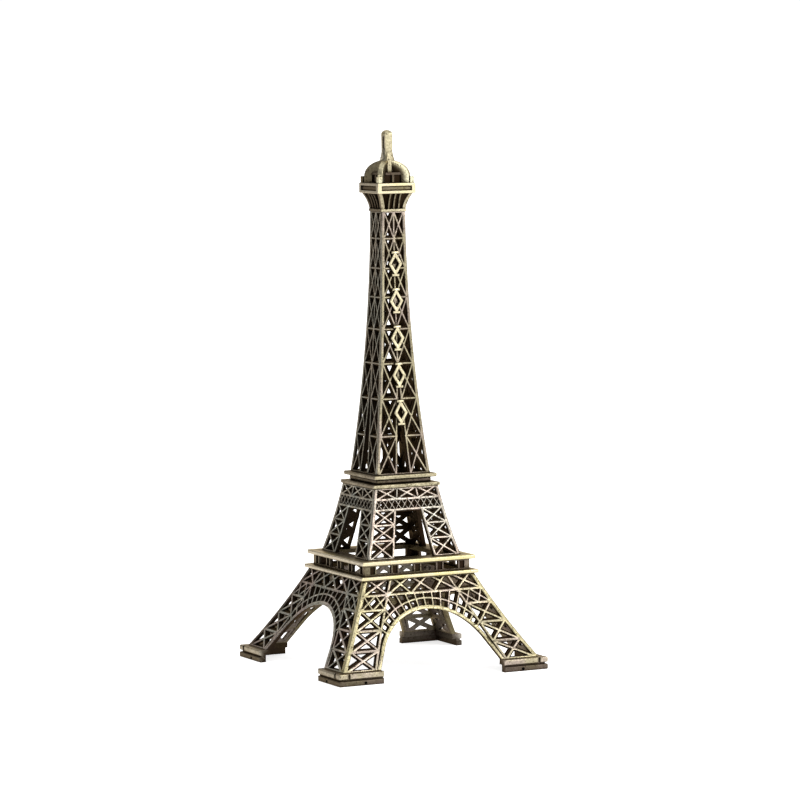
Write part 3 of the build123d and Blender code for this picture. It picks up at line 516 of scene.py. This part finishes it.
def make_stage(stage, polish_and_side_light, tints, dulled, gilded=False, crevice=False, far_hollow_light=0.0):
    """The four castings of one stage, each a quarter turn on from the last.

    polish_and_side_light and tints go by side: past the polish itself, how they differ is painted
    light and shade, so each side gets a lit or shaded copy of the metal. dulled has a side's edge to
    dull, as the sign of x, and by what factor. far_hollow_light lifts the hollows of the two sides
    behind as painted light.
    """
    half = half_profile(f"{stage}_front")
    shape = lattice_shape(f"{stage}_front", half, gilded, crevice)
    for quarter, side in enumerate(QUARTERS):
        material = bronze(f"{stage}_{side}_bronze", polish_and_side_light[quarter], tints[quarter],
                          least=far_hollow_light if side in ("right", "back") else 0.0)
        casting = shape.copy()
        if side in dulled:
            dull_edge(casting, half, *dulled[side])
        stand_in(casting, f"{stage}_casting_{side}", f"{stage}_{side}",
                 material, quarter)
    shape.free()


def make_lattices():
    """The castings of the base, the middle stage and the shaft."""
    # Past the polish itself, each side's numbers and tints differ as painted light and shade: the
    # back and left sides come out duller and greyer.
    make_stage(
        "base_arch", (0.82, 0.80, 0.70, 0.80),
        ((OLIVE, ROSE), (MAUVE, STONE), (MAUVE, STONE), (SLATE, MAUVE)),
        {"left": (-1, 0.62)}, gilded=True, far_hollow_light=0.46,
    )
    make_stage(
        "middle_panel", (0.82, 0.78, 0.70, 0.76),
        ((ROSE, STONE), (ROSE, STONE), (ROSE, STONE), (SLATE, STONE)),
        {"front": (1, 0.86)}, crevice=True,
    )
    make_stage(
        "shaft_panel", (0.74, 0.75, 0.70, 0.60),
        ((OLIVE, ROSE), (OLIVE, ROSE), (OLIVE, ROSE), (SLATE, STONE)),
        {"front": (1, 0.90)},
    )


def make_ornaments(metal):
    """The raised lozenges down the front of the shaft."""
    for number in range(1, ORNAMENTS + 1):
        node = f"ornament_{number}"
        stand_in(lattice_shape(node), f"lozenge_{number}", node,
                 metal["rubbed_ornaments"])


# ---- Solid pieces ---------------------------------------------------------------------------
UPRIGHT_TILT = 0.3                             # most of an upright face's normal that is up
INSET_ROOM = 2.5                               # least side of a face that is inset, in margins
CORNER_LEAN = 1.005                            # keeps the corners out of the left side
# Factor on the rub of each part's left side, darkening it as painted shade.
LEFT_SHADE_RUB = {"platform": 0.76, "plinth": 0.93, "capital": 0.6, "crown": 0.64, "finial": 0.8}


def on_left(point):
    """Whether a point is nearer to the tower's left side than to the others."""
    return -point.x > abs(point.y) * CORNER_LEAN


def left_shade_tone(part):
    """A tone that darkens a part's left side: painted shade."""
    return lambda point: LEFT_SHADE_RUB[part] if on_left(point) else 1.0


def side_lengths(face):
    """Height of an upright face, and its extent across."""
    heights = [vertex.co.z for vertex in face.verts]
    places = [vertex.co.xy for vertex in face.verts]
    across = max((place - places[0]).length for place in places)
    return max(heights) - min(heights), across


def inset_uprights(shape, margin):
    """Inset each upright face that has room, and return the corners of what lies within."""
    uprights = [
        face for face in shape.faces
        if abs(face.normal.z) < UPRIGHT_TILT and min(side_lengths(face)) > INSET_ROOM * margin
    ]
    middles = set()
    for face in uprights:
        bmesh.ops.inset_individual(shape, faces=[face], thickness=margin, depth=0)
        middles |= set(face.verts)
    return middles


def block_shape(node, width, half=None, fade=0.25 * MM, deep_rub=0.15, face_rub=None, tone=None):
    """A solid piece with its outward edges rounded, rubbed on what lies near its square outline.

    half gives the outline's half width by height; without one, the piece is rubbed all over.
    fade is the depth over which the rub falls to deep_rub. face_rub, a margin and a factor, is
    for a piece whose edges have worn more than the middles of its upright faces. tone is a
    further factor, as a function of the point.
    """
    shape = clean_copy(node)
    round_edges(shape, width)
    middles = inset_uprights(shape, face_rub[0]) if face_rub else set()
    layer = shape.verts.layers.float.new("rub")
    shade = shape.verts.layers.float.new("shade")
    for vertex in shape.verts:
        # Mark the left side for the greyer hue of painted shade.
        vertex[shade] = float(on_left(vertex.co))
        rub = face_rub[1] if vertex in middles else 1.0
        if half:
            depth = half(vertex.co.z) - max(abs(vertex.co.x), abs(vertex.co.y))
            share = min(1, max(0, (depth - width) / fade))
            rub *= 1 - share * (1 - deep_rub)
        if tone:
            rub *= tone(vertex.co)
        vertex[layer] = rub
    return shape


def make_platforms(metal):
    """Frames and plates of both platforms, and the dark bands between them."""
    for node, material in (
        ("lower_flange", "rubbed_frames"), ("upper_deck", "rubbed_frames"),
        ("platform_lower_plate", "rubbed_plates"), ("platform_upper_plate", "rubbed_plates"),
    ):
        shape = block_shape(node, width=0.08 * MM, half=outline_half(node), fade=1.0 * MM,
                            # The upper deck's top is kept brighter: painted light where it reflects
                            # the dark stage above.
                            deep_rub=0.3 if node == "upper_deck" else 0.15,
                            tone=left_shade_tone("platform"))
        stand_in(shape, f"{node}_cast", node, metal[material])
    for node in ("gallery_posts", "platform_band"):
        shape = block_shape(node, width=0.06 * MM, half=outline_half(node), fade=0.1 * MM)
        stand_in(shape, f"{node}_cast", node, metal["dark_band"])


PLINTH_GROOVE = 1.5 * MM                       # height of the groove between the mouldings
LOWER_MOULDING_RUB = 0.58


def plinth_tone(point):
    """The lower moulding of a plinth is darker, and the left side is darkened as painted shade."""
    moulding = LOWER_MOULDING_RUB if point.z < PLINTH_GROOVE else 1.0
    return moulding * left_shade_tone("plinth")(point)


def make_plinths(metal):
    """The four feet; the one behind is greyer, a shaded copy of the metal: painted shade."""
    for side in QUARTERS:
        node = f"plinth_{side}"
        far = side == "back"
        shape = block_shape(node, width=0.1 * MM, half=outline_half(node), fade=1.5 * MM,
                            deep_rub=0.45 if far else 0.25, face_rub=(0.18 * MM, 0.60),
                            tone=plinth_tone)
        material = metal["far_foot_metal" if far else "foot_metal"]
        stand_in(shape, f"{node}_cast", node, material)


# ---- The head of the tower ------------------------------------------------------------------
CAPITAL_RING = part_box("capital")[0].z + 0.6 * MM            # top of its bottom ring
CAPITAL_RING_RUB = 1.5
CAPITAL_CORNER = 0.60                          # smaller half width over reach, in a corner bar
CAPITAL_CORNER_RUB = 1.4
LANTERN_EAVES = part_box("lantern_house")[1].z - 0.6 * MM     # underside of its roof edge
LANTERN_EAVES_RUB = 0.7
CUPOLA_HALF = (5.7 * MM, 3.9 * MM)             # half axes of the ribs' outline
CUPOLA_SPRINGING = 118.9 * MM
RIB_CLEARANCE = 1.1 * MM                       # y less x, on the back left arm of a crossing rib
RIB_ROUNDING = 0.38 * MM
RIB_SLICE = 0.6 * MM                           # size of the cells that carry the rub over a rib
RIB_SHARES = (0.62, 0.95)                      # of the outline: where a rib is dark with painted shade, and bright
RIB_SHADED_RUB = 0.15
LEFT_ARM_SHADE = 0.42                            # of the arm towards the back left corner, darkened as painted shade


def capital_tone(point):
    """The capital's bottom ring and corner bars are rubbed brightest, and its left side is darkened
    as painted shade.
    """
    ring = CAPITAL_RING_RUB if point.z < CAPITAL_RING else 1.0
    in_corner = min(abs(point.x), abs(point.y)) > CAPITAL_CORNER * point.xy.length
    corner = CAPITAL_CORNER_RUB if in_corner else 1.0
    return max(ring, corner) * left_shade_tone("capital")(point)


def lantern_tone(point):
    """The roof edge of the lantern is darker than its walls."""
    return LANTERN_EAVES_RUB if point.z > LANTERN_EAVES else 1.0


def rib_shape(node):
    """A cupola rib with rounded edges, rubbed towards its rim and darkened beside the lantern as
    painted shade.

    It is cut into small cells, so that its mesh carries the rub. The arm towards the back left
    corner is darkened evenly as painted shade.
    """
    shape = clean_copy(node)
    round_edges(shape, RIB_ROUNDING)
    low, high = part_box(node)
    for axis, normal in ((0, (1, 0, 0)), (2, (0, 0, 1))):
        for number in range(1, int((high[axis] - low[axis]) / RIB_SLICE)):
            cut = low.copy()
            cut[axis] += number * RIB_SLICE
            cut_through(shape, cut, normal)
    layer = shape.verts.layers.float.new("rub")
    dark, bright = RIB_SHARES
    for vertex in shape.verts:
        across = vertex.co.xy.length / CUPOLA_HALF[0]
        up = max(0, vertex.co.z - CUPOLA_SPRINGING) / CUPOLA_HALF[1]
        share = min(1, max(0, (math.hypot(across, up) - dark) / (bright - dark)))
        if vertex.co.y - vertex.co.x > RIB_CLEARANCE:
            vertex[layer] = LEFT_ARM_SHADE
        else:
            vertex[layer] = RIB_SHADED_RUB + (1 - RIB_SHADED_RUB) * share
    return shape


def make_head(metal):
    """Capital, crown gallery, cupola ribs, finial and lantern."""
    shape = block_shape("capital", width=0.07 * MM, half=half_profile("capital"),
                        fade=0.15 * MM, deep_rub=0.05, tone=capital_tone)
    stand_in(shape, "capital_cast", "capital", metal["dark_band"])
    shape = block_shape("crown_gallery", width=0.07 * MM, half=outline_half("crown_gallery"),
                        deep_rub=0.45, tone=left_shade_tone("crown"))
    stand_in(shape, "crown_gallery_cast", "crown_gallery", metal["rubbed_frames"])
    for node in ("cupola_rib_lower", "cupola_rib_upper"):
        stand_in(rib_shape(node), f"{node}_cast", node, metal["cupola_metal"])
    shape = block_shape("finial", width=0.12 * MM, tone=left_shade_tone("finial"))
    stand_in(shape, "finial_cast", "finial", metal["finial_metal"])
    shape = block_shape("lantern_house", width=0.1 * MM, half=outline_half("lantern_house"),
                        fade=0.3 * MM, deep_rub=0.05, tone=lantern_tone)
    stand_in(shape, "lantern_house_cast", "lantern_house", metal["dark_band"])


def main():
    """Set the studio up, then make every piece."""
    make_camera()
    make_world()
    make_lights()
    make_floor()
    make_lattices()
    metal = {name: bronze(name, **look) for name, look in METALS.items()}
    make_ornaments(metal)
    make_platforms(metal)
    make_plinths(metal)
    make_head(metal)


main()
